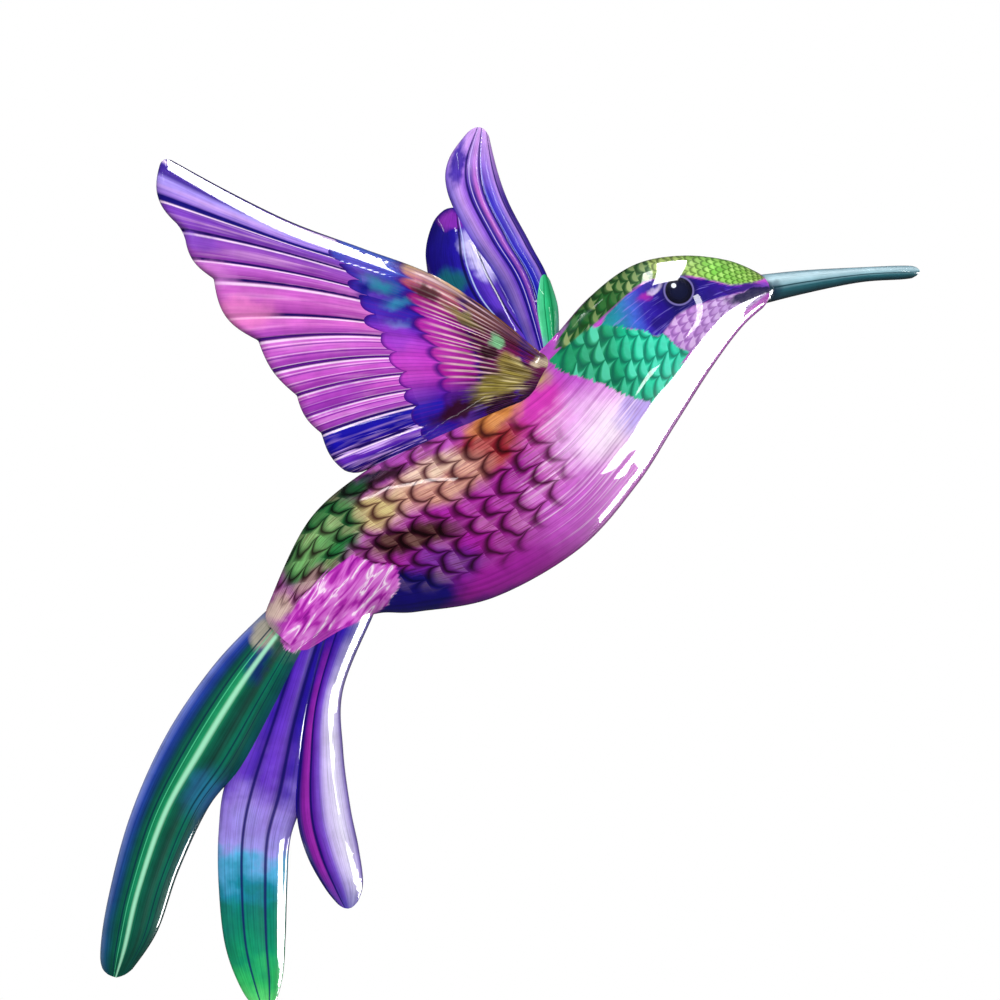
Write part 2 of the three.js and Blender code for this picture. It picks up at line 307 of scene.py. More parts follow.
def outlineOf(name):
    # The closed outline: out along the first edge, over the far end and back
    there, over = evenly(name, "along", 0), evenly(name, "across", 1)
    back, home = evenly(name, "along", 1), evenly(name, "across", 0)
    s = np.concatenate([there[:-1], np.ones(len(over) - 1), back[:0:-1], np.zeros(len(home) - 1)])
    v = np.concatenate([np.zeros(len(there) - 1), over[:-1], np.ones(len(back) - 1), home[:0:-1]])
    outline = formPoint(name, s, v)
    ahead = np.roll(outline, -1, axis=0)
    turn = (outline[:, 0] * ahead[:, 1] - outline[:, 1] * ahead[:, 0]).sum()
    return roundCorners(outline if turn > 0 else outline[::-1])


def roundCorners(outline):
    # Corners are eased, as a press leaves them
    before, ahead = outline - np.roll(outline, 1, axis=0), np.roll(outline, -1, axis=0) - outline
    turn = np.abs(before[:, 0] * ahead[:, 1] - before[:, 1] * ahead[:, 0])
    turn = turn / (np.linalg.norm(before, axis=1) * np.linalg.norm(ahead, axis=1))
    near = turn > math.sin(math.radians(bird["sharpTurn"]))
    for _ in range(bird["easedSteps"]):
        near = near | np.roll(near, 1) | np.roll(near, -1)
    for _ in range(bird["easing"]):
        middle = (np.roll(outline, 1, axis=0) + np.roll(outline, -1, axis=0)) / 2
        outline = np.where(near[:, None], middle, outline)
    return outline


def insidePolygon(points, polygon):
    inside = np.zeros(len(points), bool)
    x, z = points[:, 0], points[:, 1]
    for (x0, z0), (x1, z1) in zip(polygon, np.roll(polygon, -1, axis=0)):
        if z0 == z1:
            continue
        crosses = ((z0 > z) != (z1 > z)) & (x < (x1 - x0) * (z - z0) / (z1 - z0) + x0)
        inside ^= crosses
    return inside


def edgeDistance(points, polygon):
    # Signed distance in mm to a closed outline, positive inside it
    nearest = np.full(len(points), 1e9)
    for start, end in zip(polygon, np.roll(polygon, -1, axis=0)):
        run = end - start
        t = np.clip(((points - start) @ run) / max(run @ run, 1e-12), 0, 1)
        gap = np.linalg.norm(points - start - t[:, None] * run, axis=1)
        nearest = np.minimum(nearest, gap)
    return np.where(insidePolygon(points, polygon), nearest, -nearest)


def pressSheet():
    # One skin over all the forms: an even lattice, held to every outline
    step = bird["step"]
    outlines = {name: outlineOf(name) for name in paintOrder}
    fixed = np.concatenate(list(outlines.values()))
    rows = []
    for name, outline in outlines.items():
        ahead = np.roll(outline, -1, axis=0) - np.roll(outline, 1, axis=0)
        inward = np.stack([-ahead[:, 1], ahead[:, 0]], 1)
        inward = inward / np.linalg.norm(inward, axis=1)[:, None]
        for depth in bird["rimSteps"]:
            row = outline + inward * depth
            rows.append(row[edgeDistance(row, outline) > 0.9 * depth])    # none that cross in a corner
    rim = np.concatenate(rows)
    low, high = fixed.min(0) - step, fixed.max(0) + step
    xs = np.arange(low[0], high[0], step)
    zs = np.arange(low[1], high[1], step * math.sqrt(3) / 2)
    grid = np.stack(np.meshgrid(xs, zs), -1)
    grid[1::2, :, 0] += step / 2
    grid = grid.reshape(-1, 2)
    held = np.zeros(len(grid), bool)
    for outline in outlines.values():
        near = ((grid > outline.min(0)) & (grid < outline.max(0))).all(1)
        held[near] |= insidePolygon(grid[near], outline)
    grid = grid[held]
    known = np.concatenate([fixed, rim])
    tree = kdtree.KDTree(len(known))
    for i, (x, z) in enumerate(known):
        tree.insert((x, z, 0), i)
    tree.balance()
    # the lattice keeps half a step clear of the outlines, so that no triangle there gets too thin
    clear = [tree.find((x, z, 0))[2] > 0.5 * step for x, z in grid]
    points = np.concatenate([known, grid[clear]])
    faces, start = [], 0
    for outline in outlines.values():
        faces.append(list(range(start, start + len(outline))))
        start += len(outline)
    # each triangle comes back with the outlines that it lies in, or with none in the open air
    made = delaunay_2d_cdt([Vector(p) for p in points], [], faces, 1, 1e-6, True)
    return np.array([(p.x, p.y) for p in made[0]]), made[2], made[5]


def buildBird():
    points, triangles, inForms = pressSheet()
    triangles = np.array([three for three, held in zip(triangles, inForms) if held])
    inForms = [held for held in inForms if held]
    print("pressed sheet:", len(points), "points,", len(triangles), "triangles")
    depths = np.full((len(paintOrder), len(points)), -1e9)
    insides = np.zeros((len(paintOrder), len(points)))
    places = np.zeros((len(paintOrder), len(points), 2))
    region = np.full(len(triangles), len(paintOrder))
    for k, name in enumerate(paintOrder):
        mine = np.array([k in held for held in inForms])
        region[mine] = np.minimum(region[mine], k)
        used = np.unique(triangles[mine])
        s, v = placeOn(name, points[used])
        places[k, used] = np.stack([s, v], 1)
        depths[k, used], insides[k, used] = formDepth(name, s, v)
    top = depths.max(0)
    # where two forms meet, the dip between them is filled a little
    weights = np.clip(insides * 3, 0, 1) * np.exp(np.maximum(depths - top, -40) / bird["blend"])
    weights[depths.argmax(0), np.arange(len(points))] = 1
    height = top + bird["blend"] * np.log(weights.sum(0))
    used = np.unique(triangles)
    renumber = np.full(len(points), -1)
    renumber[used] = np.arange(len(used))
    return points[used], height[used], renumber[triangles], region, places[:, used]


def turnedRim(triangles, points):
    # The outer edges of the skin, each running the way its triangle does
    edges = np.concatenate([triangles[:, [0, 1]], triangles[:, [1, 2]], triangles[:, [2, 0]]])
    owner = np.tile(np.arange(len(triangles)), 3)
    key = edges.min(1) * len(points) + edges.max(1)
    _, first, count = np.unique(key, return_index=True, return_counts=True)
    single = first[count == 1]
    return edges[single], owner[single]


def makeBird(materials):
    points, height, triangles, region, places = buildBird()
    edges, owner = turnedRim(triangles, points)
    rimPoints = np.unique(edges)
    atWall = np.full(len(points), -1)
    atWall[rimPoints] = len(points) + np.arange(len(rimPoints))
    front = np.stack([points[:, 0], -height, points[:, 1]], 1)
    wall = front[rimPoints] * (1, 0, 1)
    corners = np.concatenate([front, wall]) * mm
    corners = np.clip(corners, np.array(sheetBox[0]), np.array(sheetBox[1]))
    quads = np.stack([edges[:, 1], edges[:, 0], atWall[edges[:, 0]], atWall[edges[:, 1]]], 1)
    mesh = bpy.data.meshes.new("printed_bird")
    mesh.from_pydata(corners.tolist(), [], triangles.tolist() + quads.tolist())
    faceRegion = np.concatenate([region, region[owner]])
    mesh.polygons.foreach_set("material_index", faceRegion.astype(np.int32))
    mesh.polygons.foreach_set("use_smooth", np.ones(len(mesh.polygons), bool))
    loops = np.zeros(len(mesh.loops), np.int32)
    mesh.loops.foreach_get("vertex_index", loops)
    back = np.concatenate([np.arange(len(points)), rimPoints])
    loopRegion = np.repeat(faceRegion, [3] * len(triangles) + [4] * len(quads))
    place = places[loopRegion, back[loops]]
    vector = np.concatenate([place, np.zeros((len(place), 1))], 1)
    mesh.attributes.new("feather", "FLOAT_VECTOR", "CORNER").data.foreach_set("vector", vector.ravel())
    for name, outline in bodyPrint["areas"].items():
        polygon = np.array([onBird(*corner) for corner in outline])
        distance = np.concatenate([edgeDistance(points, polygon), edgeDistance(points[rimPoints], polygon)])
        mesh.attributes.new(name, "FLOAT", "POINT").data.foreach_set("value", distance.astype(np.float32))
    for name in paintOrder + ["back"]:
        mesh.materials.append(materials[name])
    piece = bpy.data.objects.new("printed_bird", mesh)
    bpy.context.scene.collection.objects.link(piece)
    thickness = piece.modifiers.new("sheet", "SOLIDIFY")
    thickness.thickness = bird["sheet"] * mm
    thickness.offset = -1
    thickness.material_offset = len(paintOrder)
    thickness.material_offset_rim = 0
    finished = bpy.data.meshes.new_from_object(piece.evaluated_get(bpy.context.evaluated_depsgraph_get()))
    piece.modifiers.clear()
    piece.data = finished
    finished.set_sharp_from_angle(angle=math.radians(bird["sharpEdge"]))
    return piece


def linear(hexColour):
    # An sRGB hex value as the linear colour a shader takes
    channels = [int(hexColour[i:i + 2], 16) / 255 for i in (1, 3, 5)]
    return [c / 12.92 if c <= 0.04045 else ((c + 0.055) / 1.055) ** 2.4 for c in channels] + [1]


def addNode(tree, kind, settings=None, links=None, out=0):
    # Adds a shader node, sets it, joins its inputs and gives back one of its outputs
    node = tree.nodes.new("ShaderNode" + kind)
    for name, value in (settings or {}).items():
        if isinstance(name, int) or name in node.inputs:
            node.inputs[name].default_value = value
        else:
            setattr(node, name, value)
    for name, socket in (links or {}).items():
        tree.links.new(socket, node.inputs[name])
    return node.outputs[out]


# Printed feathers on sheet steel: dye-sublimation inks baked into a white base coat, under a clear
# polyester gloss lacquer. The inks are soft edged and bright, and the lacquer shines like wet glass.
lacquer = {
    "underCoat": 0.38,           # roughness of the print below the lacquer
    "inkShine": 0.06,            # the lacquer wets the ink, so that hardly any light turns back between
    "gloss": 0.025,              # roughness of the lacquer itself
    "flowWave": 26.0,            # mm, how far apart the lacquer's slow waves are
    "flowHeight": 1.05,          # mm from a wave's trough to its crest, if flowShare were 1
    "flowShare": 0.22,
}

# Places of inks and lights are given as steps across and down the picture.
picture = {
    "step": 0.34227,             # mm on the bird
    "strapAt": (408.9, 380.3),   # steps across and down to the strap, behind which the frame begins
}


def onBird(across, down):
    x0, y0 = picture["strapAt"]
    return (across - x0) * picture["step"], (y0 - down) * picture["step"]


def startMaterial(name):
    material = bpy.data.materials.new(name)
    material.use_nodes = True
    return material, material.node_tree, material.node_tree.nodes["Principled BSDF"]


def startPrint(name):
    # A new material with the places that its print is drawn on: mm on the bird, and along its feathers
    material, tree, shader = startMaterial(name)
    at = addNode(tree, "TexCoord", out="Object")
    split = addNode(tree, "SeparateXYZ", links={0: at}).node
    flat = addNode(tree, "CombineXYZ", links={0: split.outputs[0], 1: split.outputs[2]})
    flat = addNode(tree, "VectorMath", {"operation": "SCALE", "Scale": 1 / mm}, {0: flat})
    wobble = addNode(tree, "TexNoise", {"Scale": 0.16, "Detail": 3.0}, {"Vector": flat}, "Color")
    shift = addNode(tree, "VectorMath", {"operation": "MULTIPLY_ADD", 1: (7, 7, 0), 2: (-3.5, -3.5, 0)},
                    {0: wobble})    # the edges of the inks stray up to 3.5 mm
    soft = addNode(tree, "VectorMath", {"operation": "ADD"}, {0: flat, 1: shift})
    feather = addNode(tree, "Attribute", {"attribute_name": "feather"}, out="Vector")
    parts = addNode(tree, "SeparateXYZ", links={0: feather}).node
    return {"material": material, "tree": tree, "shader": shader, "flat": flat, "soft": soft,
            "feather": feather, "along": parts.outputs[0], "across": parts.outputs[1]}


def finishPrint(paint, colour):
    tree, shader = paint["tree"], paint["shader"]
    tree.links.new(colour, shader.inputs["Base Color"])
    shader.inputs["Roughness"].default_value = lacquer["underCoat"]
    shader.inputs["Specular IOR Level"].default_value = lacquer["inkShine"]
    shader.inputs["Coat Weight"].default_value = 1.0
    shader.inputs["Coat Roughness"].default_value = lacquer["gloss"]
    wave = addNode(tree, "TexNoise", {"Scale": 1 / lacquer["flowWave"], "Detail": 1.5},
                   {"Vector": paint["flat"]})
    bump = addNode(tree, "Bump", {"Distance": lacquer["flowHeight"] * mm, "Strength": lacquer["flowShare"]},
                   {"Height": wave})
    tree.links.new(bump, shader.inputs["Coat Normal"])
    return paint["material"]


def bandsAlong(paint, value, bands):
    # Printed colour that runs through the given bands as value goes from 0 to 1
    ramp = addNode(paint["tree"], "ValToRGB", links={0: value}).node
    stops = ramp.color_ramp.elements
    while len(stops) < len(bands):
        stops.new(0.5)
    for stop, (place, hexColour) in zip(stops, bands):
        stop.position = place
        stop.color = linear(hexColour) if isinstance(hexColour, str) else [hexColour] * 3 + [1]
    return ramp.outputs[0]


def printOver(paint, colour, masks, ink, amount=1.0, kind="MIX"):
    # An ink, or another print, laid over what is already printed, where all its masks are 1
    tree = paint["tree"]
    mask, *others = masks if isinstance(masks, tuple) else (masks,)
    for other in others:
        mask = addNode(tree, "Math", {"operation": "MULTIPLY"}, {0: mask, 1: other})
    if amount != 1:
        mask = addNode(tree, "Math", {"operation": "MULTIPLY", 1: amount}, {0: mask})
    settings, links = {"data_type": "RGBA", "blend_type": kind}, {0: mask, 6: colour}
    if isinstance(ink, str):
        settings[7] = linear(ink)
    else:
        links[7] = ink
    return addNode(tree, "Mix", settings, links, 2)


def patch(paint, spot):
    # Mask of a soft oval. spot: its middle and its two radii in steps, its turn in degrees, and how wide
    # its fade is (1: all the way in)
    tree = paint["tree"]
    across, down, wide, high, turn = spot[:5]
    hard = spot[5] if len(spot) > 5 else 0.62
    x, z = onBird(across, down)
    scale = picture["step"]
    oval = addNode(tree, "Mapping",
                   {"vector_type": "TEXTURE", "Location": (x, z, 0),
                    "Rotation": (0, 0, math.radians(turn)), "Scale": (wide * scale, high * scale, 1)},
                   {"Vector": paint["soft"]})
    fade = addNode(tree, "TexGradient", {"gradient_type": "SPHERICAL"}, {"Vector": oval}, 1)
    return addNode(tree, "MapRange",
                   {"interpolation_type": "SMOOTHSTEP", "From Min": 0.0, "From Max": hard}, {0: fade})


def washes(paint, colour, spots):
    # Each spot: an ink, how much of it is laid on, and the oval that it fills
    for hexColour, amount, *spot in spots.values():
        colour = printOver(paint, colour, patch(paint, spot), hexColour, amount)
    return colour


def between(paint, value, low, high, soft):
    # Mask that is 1 where value lies from low to high
    tree = paint["tree"]
    middle, half = (low + high) / 2, (high - low) / 2
    off = addNode(tree, "Math", {"operation": "SUBTRACT", 1: middle}, {0: value})
    off = addNode(tree, "Math", {"operation": "ABSOLUTE"}, {0: off})
    return addNode(tree, "MapRange",
                   {"interpolation_type": "SMOOTHSTEP", "From Min": half + soft, "From Max": half - soft},
                   {0: off})


def quills(paint, value, count, half, shift=0.0, soft=0.5):
    # Mask of even lines, count of them to a step of 1 in value, half a line wide each way
    tree = paint["tree"]
    run = addNode(tree, "Math", {"operation": "MULTIPLY_ADD", 1: count, 2: shift}, {0: value})
    off = addNode(tree, "Math", {"operation": "PINGPONG", 1: 0.5}, {0: run})
    return addNode(tree, "MapRange", {"From Min": half * (1 + soft), "From Max": half * (1 - soft)},
                   {0: off})


def strokes(paint, across, along, low=0.45, high=0.7, seed=0.0):
    # Mask of fine brush strokes that run along the feathers. across, along: how many to a whole form
    tree = paint["tree"]
    run = addNode(tree, "VectorMath",
                  {"operation": "MULTIPLY_ADD", 1: (along, across, 0), 2: (seed, seed, 0)},
                  {0: paint["feather"]})
    noise = addNode(tree, "TexNoise", {"Scale": 1.0, "Detail": 2.0}, {"Vector": run})
    return addNode(tree, "MapRange", {"From Min": low, "From Max": high}, {0: noise})


def mottle(paint, colour, size, amount):
    # Ink that has pooled a little darker and lighter, as on wet paper. size: mm from pool to pool
    tree = paint["tree"]
    noise = addNode(tree, "TexNoise", {"Scale": 1 / size, "Detail": 4.0, "Roughness": 0.6},
                    {"Vector": paint["flat"]})
    value = addNode(tree, "MapRange",
                    {"From Min": 0.3, "From Max": 0.7, "To Min": 1 - amount, "To Max": 1 + amount},
                    {0: noise})
    return addNode(tree, "HueSaturation", links={"Value": value, "Color": colour})


def scales(paint, run, side, rows, cells, bulge=0.9, line=0.12, wobble=0.2, shift=0.0):
    # Rows of overlapping feathers whose round tips lie over the next row. run goes from row to row and
    # side along them. Gives the dark tips, the light middles, each place's row and each feather's tone.
    tree = paint["tree"]
    noise = addNode(tree, "TexNoise", {"Scale": 0.12, "Detail": 1.0}, {"Vector": paint["flat"]})
    drift = addNode(tree, "Math", {"operation": "MULTIPLY_ADD", 1: 2 * wobble, 2: shift - wobble},
                    {0: noise})
    run = addNode(tree, "Math", {"operation": "MULTIPLY_ADD", 1: rows}, {0: run, 2: drift})
    side = addNode(tree, "Math", {"operation": "MULTIPLY_ADD", 1: cells}, {0: side, 2: drift})
    row = addNode(tree, "Math", {"operation": "FLOOR"}, {0: run})
    inRow = addNode(tree, "Math", {"operation": "FRACT"}, {0: run})
    here = addNode(tree, "Math", {"operation": "MULTIPLY_ADD", 1: 0.5}, {0: row, 2: side})
    off = addNode(tree, "Math", {"operation": "WRAP", 1: 0.5, 2: -0.5}, {0: here})
    tip = addNode(tree, "Math", {"operation": "MULTIPLY"}, {0: off, 1: off})
    tip = addNode(tree, "Math", {"operation": "MULTIPLY_ADD", 1: -4 * bulge ** 2, 2: bulge ** 2},
                  {0: tip})
    tip = addNode(tree, "Math", {"operation": "SQRT"}, {0: tip})
    gap = addNode(tree, "Math", {"operation": "SUBTRACT"}, {0: inRow, 1: tip})
    level = addNode(tree, "Math", {"operation": "MULTIPLY_ADD", 1: 0.5, 2: 0.5}, {0: gap})
    edge = bandsAlong(paint, level, [(0.5 - line, 0.0), (0.495, 1.0), (0.5 + line * 0.3, 0.85),
                                     (0.5 + line * 1.3, 0.0)])
    middle = bandsAlong(paint, level, [(0.0, 1.0), (0.3, 1.0), (0.5 - line, 0.25), (0.5, 0.0),
                                       (0.5 + line, 0.05), (0.76, 0.7), (1.0, 1.0)])
    above = addNode(tree, "Math", {"operation": "LESS_THAN", 1: 0.0}, {0: gap})
    owner = addNode(tree, "Math", {"operation": "SUBTRACT"}, {0: row, 1: above})
    cell = addNode(tree, "Math", {"operation": "MULTIPLY_ADD", 1: 0.5}, {0: owner, 2: side})
    cell = addNode(tree, "Math", {"operation": "FLOOR"}, {0: cell})
    cell = addNode(tree, "CombineXYZ", links={0: owner, 1: cell})
    tone = addNode(tree, "TexWhiteNoise", {"noise_dimensions": "2D"}, {"Vector": cell})
    return edge, middle, owner, tone


nearWingPrint = {
    # inks across the fan of long feathers, and across the rows of short ones over their roots
    "feathers": [(0.0, "#8a7ae4"), (0.07, "#b8a6f2"), (0.078, "#9a86e8"), (0.09, "#6a30b0"),
                 (0.165, "#a060d0"), (0.172, "#8444b4"), (0.25, "#b45cc4"), (0.335, "#c25cc0"),
                 (0.415, "#d468c4"), (0.5, "#d66cd4"), (0.6, "#c658c8"), (0.7, "#cc58c8"),
                 (0.825, "#c45cd0"), (0.834, "#120a9a"), (0.9, "#160ca4"), (0.94, "#6a2cb4"),
                 (0.97, "#1c0e98"), (1.0, "#160a74")],
    "longCoverts": [(0.0, "#3a5ac0"), (0.14, "#10209a"), (0.3, "#0a1494"), (0.4, "#3c1ca8"),
                    (0.47, "#8424b8"), (0.58, "#bc38c0"), (0.68, "#b838b8"), (0.76, "#6a1898"),
                    (0.84, "#1a0e9c"), (1.0, "#160a84")],
    "shortCoverts": [(0.0, "#c8a878"), (0.06, "#a85a58"), (0.14, "#8a1044"), (0.3, "#a4149a"),
                     (0.5, "#b82ca4"), (0.7, "#9a1088"), (0.8, "#4c1480"), (0.9, "#240c7c"),
                     (1.0, "#200a60")],
    "rootCoverts": [(0.0, "#8a5a38"), (0.2, "#5a1030"), (0.4, "#7a0e54"), (0.65, "#500a3c"),
                    (0.85, "#340624"), (1.0, "#2a0820")],
    "goldShafts": (505, 385, 50, 24, 22),
    # 11 to 25 mm a row, of which only the first three are printed, with 11 feathers in each
    "rows": {"rows": 6.06, "cells": 11.0, "bulge": 0.27, "line": 0.05, "wobble": 0.06, "shift": -0.21},
    "spots": {
        "blueAtTheBend": ("#06107c", 0.95, 366, 292, 16, 10, 20, 1.0),
        "tealAtTheBend": ("#0f8a94", 0.75, 382, 287, 30, 11, -20, 1.0),
        "tealBelow": ("#2f9ab0", 0.6, 398, 306, 20, 9, -8, 1.0),
        "paleTeal": ("#5aa8d0", 0.5, 400, 325, 17, 8, -5, 1.0),
        "violetCells": ("#8a34c4", 0.5, 398, 338, 18, 22, 0),
        "pinkTip": ("#dc84dc", 0.5, 205, 275, 44, 16, -6),
        "violetTip": ("#7a44c0", 0.6, 190, 240, 44, 12, -15),
        "purpleShade": ("#8a28a8", 0.6, 330, 400, 64, 16, 22),
        "rosePatch": ("#ee84c4", 0.6, 240, 315, 50, 22, 4),
        "darkAtTheBend": ("#2a1408", 0.85, 428, 294, 24, 7, -22),
        "oliveRoots": ("#8a8040", 0.8, 462, 318, 30, 8, -35),
        # painted shade: a dark band along the near wing's lower edge, where it stands over the body
        "darkBelow": ("#2e0618", 0.95, 462, 408, 46, 12, 27),
        "goldFan": ("#8e8038", 0.95, 500, 386, 40, 16, 22),
        "goldShoulder": ("#9a8a40", 0.9, 512, 368, 24, 14, -35),
        "goldLight": ("#d8cc88", 0.8, 518, 362, 12, 5, -38, 0.9),
        "darkShoulder": ("#2c1414", 0.85, 488, 354, 12, 13, -40),
        "mintShoulder": ("#86cf98", 0.95, 497, 342, 13, 8, -38),
        "paleShoulder": ("#d8c8a8", 0.8, 541, 363, 12, 9, 0),
    },
}


def printNearWing():
    paint = startPrint("sublimationPrintNearWing")
    tree, fanned, outward = paint["tree"], paint["along"], paint["across"]
    look, count = nearWingPrint, nearWing["feathers"]
    colour = bandsAlong(paint, fanned, look["feathers"])
    fan = between(paint, fanned, 0.5, 0.83, 0.01)
    # each feather: a shaded side, a light line and a dark quill
    shade = quills(paint, fanned, count, 0.2, 0.14, 0.95)
    colour = printOver(paint, colour, shade, "#a850cc", 0.6, "MULTIPLY")
    colour = printOver(paint, colour, strokes(paint, 5, 150), "#b05acc", 0.4, "MULTIPLY")
    colour = printOver(paint, colour, strokes(paint, 3, 60, 0.5, 0.75, 4), "#ffc8f4", 0.35)
    colour = printOver(paint, colour, quills(paint, fanned, count, 0.04, -0.115), "#f8dcf8", 0.8)
    colour = printOver(paint, colour, quills(paint, fanned, count, 0.066), "#1a0558", 1.0)
    colour = printOver(paint, colour, (quills(paint, fanned, 3 * count, 0.07), fan), "#6a1494", 0.75)
    light = quills(paint, fanned, 3 * count, 0.05, 0.2)
    colour = printOver(paint, colour, (light, fan), "#f8d4f8", 0.5)
    colour = printOver(paint, colour, between(paint, fanned, 0.074, 0.09, 0.004), "#140c70")
    colour = printOver(paint, colour, between(paint, fanned, 0.012, 0.036, 0.006), "#32148a", 0.95)
    lowest = (strokes(paint, 3, 110, 0.56, 0.62, 5), between(paint, fanned, 0.885, 1.1, 0.004))
    colour = printOver(paint, colour, lowest, "#cfa8f0", 0.9)
    # the short feathers, in rows
    edge, middle, owner, tone = scales(paint, outward, fanned, **look["rows"])
    for row, inks, lights in ((2, "longCoverts", 0.3), (1, "shortCoverts", 0.2), (0, "rootCoverts", 0.0)):
        under = addNode(tree, "Math", {"operation": "LESS_THAN", 1: row + 0.5}, {0: owner})
        own = bandsAlong(paint, fanned, look[inks])
        own = printOver(paint, own, (tone, middle), "#b064d0", lights, "SCREEN")
        own = printOver(paint, own, quills(paint, fanned, 55, 0.1, 0.0, 0.8), "#5a1290", 0.4)
        colour = printOver(paint, colour, under, own)
    coverts = addNode(tree, "Math", {"operation": "LESS_THAN", 1: 2.5}, {0: owner})
    colour = printOver(paint, colour, (edge, coverts), "#3a0878", 0.85)
    rays = (quills(paint, fanned, 2 * count, 0.15, 0.3, 0.6), between(paint, outward, 0.16, 0.35, 0.05),
            between(paint, fanned, -0.2, 0.72, 0.05))
    colour = printOver(paint, colour, rays, "#f0ccd0", 0.85)
    colour = washes(paint, colour, look["spots"])
    shafts = (strokes(paint, 6, 70, 0.52, 0.64, 11), patch(paint, look["goldShafts"]))
    colour = printOver(paint, colour, shafts, "#dccc98", 0.7)
    root = (strokes(paint, 6, 70, 0.42, 0.58, 7), between(paint, outward, -1.0, 0.3, 0.06))
    colour = printOver(paint, colour, root, "#4a2c18", 0.75, "MULTIPLY")
    colour = mottle(paint, colour, 9, 0.14)
    return finishPrint(paint, colour)


bodyPrint = {
    "spots": {
        "magentaAll": ("#a81ca4", 1.0, 500, 540, 180, 100, 30, 0.4),
        "orchidBreast": ("#cc5cce", 1.0, 585, 490, 95, 70, 45, 0.7),
        "magentaSide": ("#c430a8", 1.0, 533, 412, 50, 50, 20),
        "pinkBreast": ("#eab4ec", 1.0, 595, 428, 76, 56, 40, 0.8),
        "whiteBreast": ("#fcecfc", 0.9, 608, 432, 54, 34, 45, 0.9),
        "lilacBreast": ("#b8a4ec", 0.9, 640, 414, 36, 32, 50),
        "darkBelly": ("#80088a", 0.95, 600, 562, 90, 20, 38),
        "darkUnder": ("#700c8e", 0.95, 500, 602, 100, 20, 14),
        "violetUnder": ("#6a1a9c", 0.85, 445, 566, 54, 30, 12),
        "indigoBelly": ("#140878", 1.0, 400, 596, 76, 32, 4, 0.4),
        "maroonUnder": ("#3c0a20", 1.0, 415, 537, 72, 20, 14),
        "rustSide": ("#a85048", 0.9, 466, 462, 40, 16, 30),
        "crimsonSide": ("#98102c", 1.0, 488, 450, 50, 32, 35, 0.5),
        "salmonSide": ("#d09a88", 1.0, 440, 482, 66, 30, 20, 0.5),
        "goldSide": ("#cc8440", 1.0, 494, 418, 44, 18, 30),
        "creamSide": ("#e4ccb4", 0.8, 430, 472, 50, 16, 28),
        "oliveSide": ("#c8b87c", 1.0, 375, 512, 46, 26, 20),
        # painted shade: a dark strip on the body along the near wing's lower edge
        "paintedShadeUnderWingEdge": ("#24140c", 0.95, 378, 480, 48, 11, 22),
        "greenRump": ("#1c7a3c", 1.0, 322, 540, 66, 40, 52, 0.4),
        "paleGreen": ("#7ac070", 0.75, 318, 545, 48, 18, 50),
        "greenTop": ("#0a5428", 0.9, 345, 492, 36, 14, 25),
        "creamRump": ("#d0bca8", 0.9, 280, 606, 26, 16, 50),
        "greyRoot": ("#8a8478", 0.9, 268, 632, 16, 20, -20),
        "pinkGrey": ("#b89898", 0.8, 312, 580, 26, 12, 50),
        "goldFan": ("#a4943e", 1.0, 520, 384, 40, 20, 15),
        # painted shade: dark on the body just below the near wing's edge
        "paintedShadeUnderWing": ("#380e10", 0.9, 470, 412, 38, 12, 25),
    },
    # marks over the head's areas
    "marks": {
        "mouth": ("#0a1240", 0.95, 752, 296, 34, 6, 14, 0.4),
        "lore": ("#2a0c70", 0.8, 735, 291, 26, 4, 8, 0.5),
        "brow": ("#a81ca0", 0.7, 642, 299, 14, 6, 30, 0.8),
        "chinSpot": ("#1c0a70", 0.8, 655, 328, 8, 11, -20, 0.8),
        "paleBrow": ("#d8c8e8", 0.7, 652, 292, 12, 3.5, 35, 0.8),
    },
    "down": (600, 460, 110, 80, 45, 0.4),    # where the breast is downy
    "scaled": ((455, 500, 135, 88, 25, 0.3), (330, 540, 88, 60, 50, 0.3)),    # where feathers overlap
    "lean": 0.12,
    # 6.5 mm a row, and 8 mm a feather where the body is widest
    "rows": {"rows": 33, "cells": 8, "bulge": 0.8, "line": 0.1, "wobble": 0.25},
    # outlines of the broad areas, in picture steps
    "areas": {
        "crown": [(640, 262), (660, 256), (690, 250), (722, 254), (748, 266), (764, 280), (749, 286),
                  (727, 288), (702, 282), (684, 279), (666, 281), (651, 282), (640, 284)],
        "nape": [(552, 352), (572, 316), (598, 286), (622, 264), (646, 260), (652, 280), (641, 286),
                 (625, 298), (609, 314), (586, 332), (564, 350)],
        "mask": [(604, 318), (625, 298), (645, 284), (668, 279), (702, 282), (727, 288), (764, 284),
                 (772, 291), (747, 293), (719, 302), (690, 311), (672, 322), (662, 338), (648, 340),
                 (636, 334), (612, 332), (596, 334)],
        "cheek": [(772, 291), (752, 306), (722, 328), (690, 356), (674, 350), (660, 336), (672, 320),
                  (690, 309), (719, 300), (746, 292)],
        "gorget": [(548, 362), (562, 346), (586, 330), (606, 328), (640, 333), (654, 340), (668, 334),
                   (692, 345), (680, 366), (670, 400), (654, 406), (636, 402), (618, 396), (600, 387),
                   (578, 380), (558, 374)],
        "tuft": [(355, 553), (376, 562), (399, 564), (402, 584), (390, 603), (374, 615), (350, 625),
                 (320, 632), (306, 643), (296, 652), (287, 648), (283, 638), (288, 624), (303, 597),
                 (331, 570)],
    },
}


